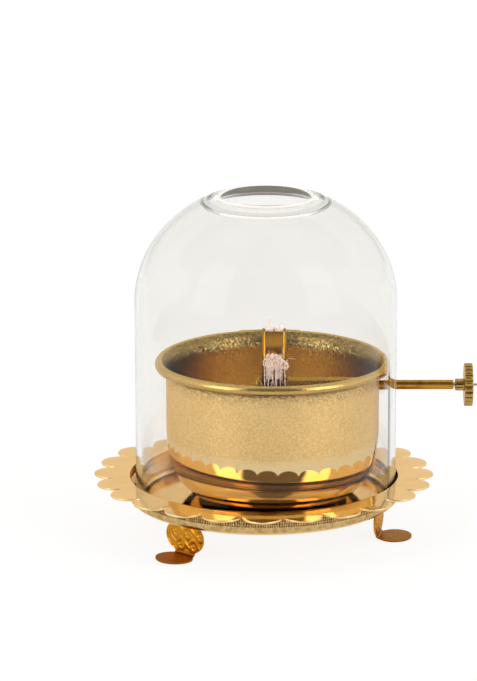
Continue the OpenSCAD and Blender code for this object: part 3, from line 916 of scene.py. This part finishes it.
def tuft():
    """The loose ends drawn out through the window, which fall in front of the feed wheels."""
    rng = np.random.default_rng(33)
    verts, faces = [], []
    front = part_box("wick_tube")[0].y / MM
    low_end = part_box("wick_tuft")[0].z / MM
    # (across, lowest point, highest point, yarn radius) of each hanging strand
    strands = [(-4.4, 0.8, 79.5, 0.26), (-2.8, 0.4, 82.0, 0.34), (-0.9, 2.0, 84.0, 0.38),
               (1.0, 0.6, 84.4, 0.42), (3.1, 0.4, 83.4, 0.36), (4.8, 1.6, 81.0, 0.28)]
    for dx, low, high, radius in strands:
        x, root = TUBE_X + dx, TUBE_X + dx * 0.6
        y_front = front - 2.0 - radius - rng.uniform(0.0, 1.2)
        sway = rng.uniform(-0.4, 0.4)
        points = [(root, front + 1.4, high - 3.4), (root, front + 0.3, high - 1.6),
                  ((x + root) / 2, front - 1.0, high - 0.1), (x, y_front + 0.5, high - 0.8),
                  (x + sway * 0.5, y_front, high - 3.6),
                  (x - sway * 0.6, y_front + 0.2, (low_end + low + high) / 2 - 1),
                  (x + sway, y_front + 0.35, low_end + low)]
        add_yarn(verts, faces, points, radius, rng, plies=2, turns=5.0, frayed=0.2)
    # small curls knotted together over the top half of the window
    for _ in range(24):
        x = TUBE_X + rng.uniform(-3.5, 3.7)
        z = 85.6 - 0.42 * abs(x - TUBE_X) - rng.uniform(0.0, 6.6)
        y = front - 1.9 - rng.uniform(0.3, 1.7)
        side, size = rng.choice([-1, 1]), rng.uniform(0.8, 1.25)
        across = side * size
        points = [(x, y + 1.0, z), (x + 0.7 * across, y, z + 0.8 * size),
                  (x + 1.5 * across, y - 0.3, z + 0.1), (x + 1.5 * across, y - 0.2, z - 1.2 * size),
                  (x + 0.8 * across, y, z - 2.1 * size), (x + 0.1 * side, y + 0.2, z - 1.5 * size)]
        add_yarn(verts, faces, points, rng.uniform(0.28, 0.46), rng, plies=2, turns=2.2, frayed=0.35)
    # one larger curl that hangs out to the right
    curl = [(TUBE_X + x, front + y, z)
            for x, y, z in ((1.8, 0.2, 81.6), (2.8, -2.2, 82.4), (4.6, -2.9, 81.4), (6.0, -3.0, 79.9),
                            (5.8, -3.1, 78.4), (4.6, -3.0, 78.2))]
    add_yarn(verts, faces, curl, 0.5, rng, plies=3, turns=3, frayed=0.3)
    add_fuzz(verts, faces, (TUBE_X, front - 3.2, 81.6), (2.4, 0.5, 2.0), 80, rng)
    add_fuzz(verts, faces, (TUBE_X + 0.5, front - 2.8, 74.5), (2.4, 0.35, 2.6), 26, rng)
    add_fuzz(verts, faces, (TUBE_X + 5.2, front - 2.6, 80.0), (0.8, 0.4, 1.2), 24, rng)
    made = make("wick_tuft_fibres", verts, faces, sharp=60)
    finish_piece(made, "lamp_bowl", "cotton", tuft_cotton, "wick_tuft")


tuft()


# ---------------------------------------------------------------- glass dome

GLASS_R, GLASS_T, SHOULDER_Z, SHOULDER_H = 60.0, 2.5, 109.0, 53.3
# the thick ring round the mouth: its middle and its rounding
MOUTH_R, MOUTH_Z, MOUTH_ROUND = 22.3, 156.2, 1.7
SLOT_HALF_W, SLOT_TOP = 4, 80


def glass_profile():
    """Up the outside, over the mouth's ring and down the inside; both shoulders are arcs of an ellipse."""
    foot_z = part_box("glass_dome")[0].z / MM

    def shoulder(a, b, end, n):
        stop = math.acos(end / a)
        return [(a * math.cos(stop * i / n), SHOULDER_Z + b * math.sin(stop * i / n)) for i in range(n + 1)]

    outer = shoulder(GLASS_R, SHOULDER_H, 25.5, 48)
    inner = shoulder(GLASS_R - GLASS_T, SHOULDER_H - GLASS_T, 29.0, 48)[::-1]
    inner_r = GLASS_R - GLASS_T
    mouth = arc(MOUTH_R, MOUTH_Z, MOUTH_ROUND, 75, 280, 20)
    return ([(GLASS_R - 0.9, foot_z), (GLASS_R - 0.25, foot_z + 0.2), (GLASS_R, foot_z + 0.8)]
            + line((GLASS_R, 20), (GLASS_R, SHOULDER_Z), 24) + outer + mouth
            + [(23.4, 153.9), (25.2, 152.6), (26.9, 151.85), (27.7, 151.7), (28.4, 152.0)] + inner
            + line((inner_r, SHOULDER_Z - 3), (inner_r, foot_z + 0.6), 22)
            + [(inner_r, foot_z + 0.6), (inner_r + 0.4, foot_z)])


dome = lathe("glass_dome_shell", glass_profile(), GLASS_X, even_angles(288), sharp=60)
slot_x = TRAY_X + GLASS_R
cut(dome, "slot_cutter", (slot_x - 12, -SLOT_HALF_W, 5), (slot_x + 12, SLOT_HALF_W, SLOT_TOP),
    rounding=SLOT_HALF_W)
finish_piece(dome, "dome", "glass", glass, "glass_dome")


# ---------------------------------------------------------------- floor, light and camera

FLOOR_R, FLOOR_DROP = 4.0, 0.00005


def floor():
    """A pale disc that glows evenly, a hair below the toes."""
    angles = even_angles(96)
    verts = [(0, 0, 0)] + [(FLOOR_R * math.cos(a), FLOOR_R * math.sin(a), 0) for a in angles]
    faces = [(0, 1 + k, 1 + (k + 1) % len(angles)) for k in range(len(angles))]
    mesh = bpy.data.meshes.new("floor")
    mesh.from_pydata(verts, [], faces)
    piece = bpy.data.objects.new("floor", mesh)
    bpy.context.scene.collection.objects.link(piece)
    s = Shader("pale_floor", Roughness=0.9, Emission_Strength=0.87, Specular_IOR_Level=0.0)
    s.bsdf.inputs["Base Color"].default_value = (0.13, 0.13, 0.13, 1)
    s.bsdf.inputs["Emission Color"].default_value = (1, 1, 1, 1)
    mesh.materials.append(s.material)
    piece.location.z = -FLOOR_DROP


floor()


def world():
    """A white studio with a dark board in front, round the camera, and brighter soft boxes beside it.

    Azimuths are in degrees from the front, and elevations from the horizon.
    """
    white, ceiling, side_light = (1.0, 1.0, 1.0), (1.08, 1.08, 1.08), (1.3, 1.27, 1.2)
    soft_box, board_shade, trapped = (3.6, 3.55, 3.35), (0.24, 0.22, 0.14), (0.80, 0.80, 0.74)
    made = bpy.data.worlds.new("studio")
    bpy.context.scene.world = made
    made.use_nodes = True
    tree = made.node_tree
    nodes, links = tree.nodes, tree.links
    nodes.clear()

    def maths(op, a, b=0.0):
        n = nodes.new("ShaderNodeMath")
        n.operation = op
        for i, v in enumerate((a, b)):
            if hasattr(v, "is_output"):
                links.new(v, n.inputs[i])
            else:
                n.inputs[i].default_value = v
        return n.outputs[0]

    def window(value, low, high, soft):
        """1 where value lies between low and high, with soft edges."""
        parts = []
        for edge, before, after in ((low, 0.0, 1.0), (high, 1.0, 0.0)):
            n = nodes.new("ShaderNodeMapRange")
            n.interpolation_type = "SMOOTHSTEP"
            links.new(value, n.inputs["Value"])
            for key, v in (("From Min", edge - soft / 2), ("From Max", edge + soft / 2), ("To Min", before),
                           ("To Max", after)):
                n.inputs[key].default_value = v
            parts.append(n.outputs["Result"])
        return maths("MULTIPLY", *parts)

    def blend(factor, a, b):
        n = nodes.new("ShaderNodeMix")
        n.data_type = "RGBA"
        links.new(factor, n.inputs[0])
        for i, v in ((6, a), (7, b)):
            if hasattr(v, "is_output"):
                links.new(v, n.inputs[i])
            else:
                n.inputs[i].default_value = (*v, 1)
        return n.outputs[2]

    coords = nodes.new("ShaderNodeTexCoord")
    split = nodes.new("ShaderNodeSeparateXYZ")
    links.new(coords.outputs["Generated"], split.inputs[0])
    x, y, z = split.outputs
    azimuth = maths("MULTIPLY", maths("ARCTAN2", x, maths("MULTIPLY", y, -1.0)), 180 / math.pi)
    elevation = maths("MULTIPLY", maths("ARCSINE", z), 180 / math.pi)
    colour = blend(window(elevation, 55, 100, 20), white, ceiling)
    for low, high in ((-125, -68), (68, 125)):
        side = maths("MULTIPLY", window(azimuth, low, high, 8), window(elevation, -5, 60, 10))
        colour = blend(side, colour, side_light)
    for low, high in ((-68, -37), (37, 68)):
        box = maths("MULTIPLY", window(azimuth, low, high, 4), window(elevation, 0, 50, 6))
        colour = blend(box, colour, soft_box)
    board = maths("MULTIPLY", window(azimuth, -34, 34, 1.5), window(elevation, 8, 100, 6))
    colour = blend(board, colour, board_shade)
    # light that has only bounced about inside the glass stays pale
    path = nodes.new("ShaderNodeLightPath")
    glass_only = maths("MULTIPLY", maths("GREATER_THAN", path.outputs["Transmission Depth"], 0.5),
                       maths("LESS_THAN", path.outputs["Transmission Depth"], 3.5))
    glass_only = maths("MULTIPLY", glass_only, maths("GREATER_THAN", path.outputs["Glossy Depth"], 0.5))
    colour = blend(glass_only, colour, trapped)
    # the backdrop itself is white, also through the glass
    seen = maths("LESS_THAN", maths("ADD", path.outputs["Glossy Depth"], path.outputs["Diffuse Depth"]), 0.5)
    colour = blend(seen, colour, white)
    background = nodes.new("ShaderNodeBackground")
    links.new(colour, background.inputs["Color"])
    output = nodes.new("ShaderNodeOutputWorld")
    links.new(background.outputs[0], output.inputs["Surface"])


world()

camera_data = bpy.data.cameras.new("camera")
camera_data.lens = 185.08
camera_data.sensor_width = 36
camera_data.shift_x = -0.0370
camera_data.shift_y = -0.0011
camera_data.clip_start, camera_data.clip_end = 0.1, 20
camera = bpy.data.objects.new("camera", camera_data)
camera.location = (-0.01005, -1.55395, 0.4815)
camera.rotation_euler = (math.radians(75.87), 0, 0)
bpy.context.scene.collection.objects.link(camera)
bpy.context.scene.camera = camera
bpy.context.scene.view_settings.view_transform = "Standard"
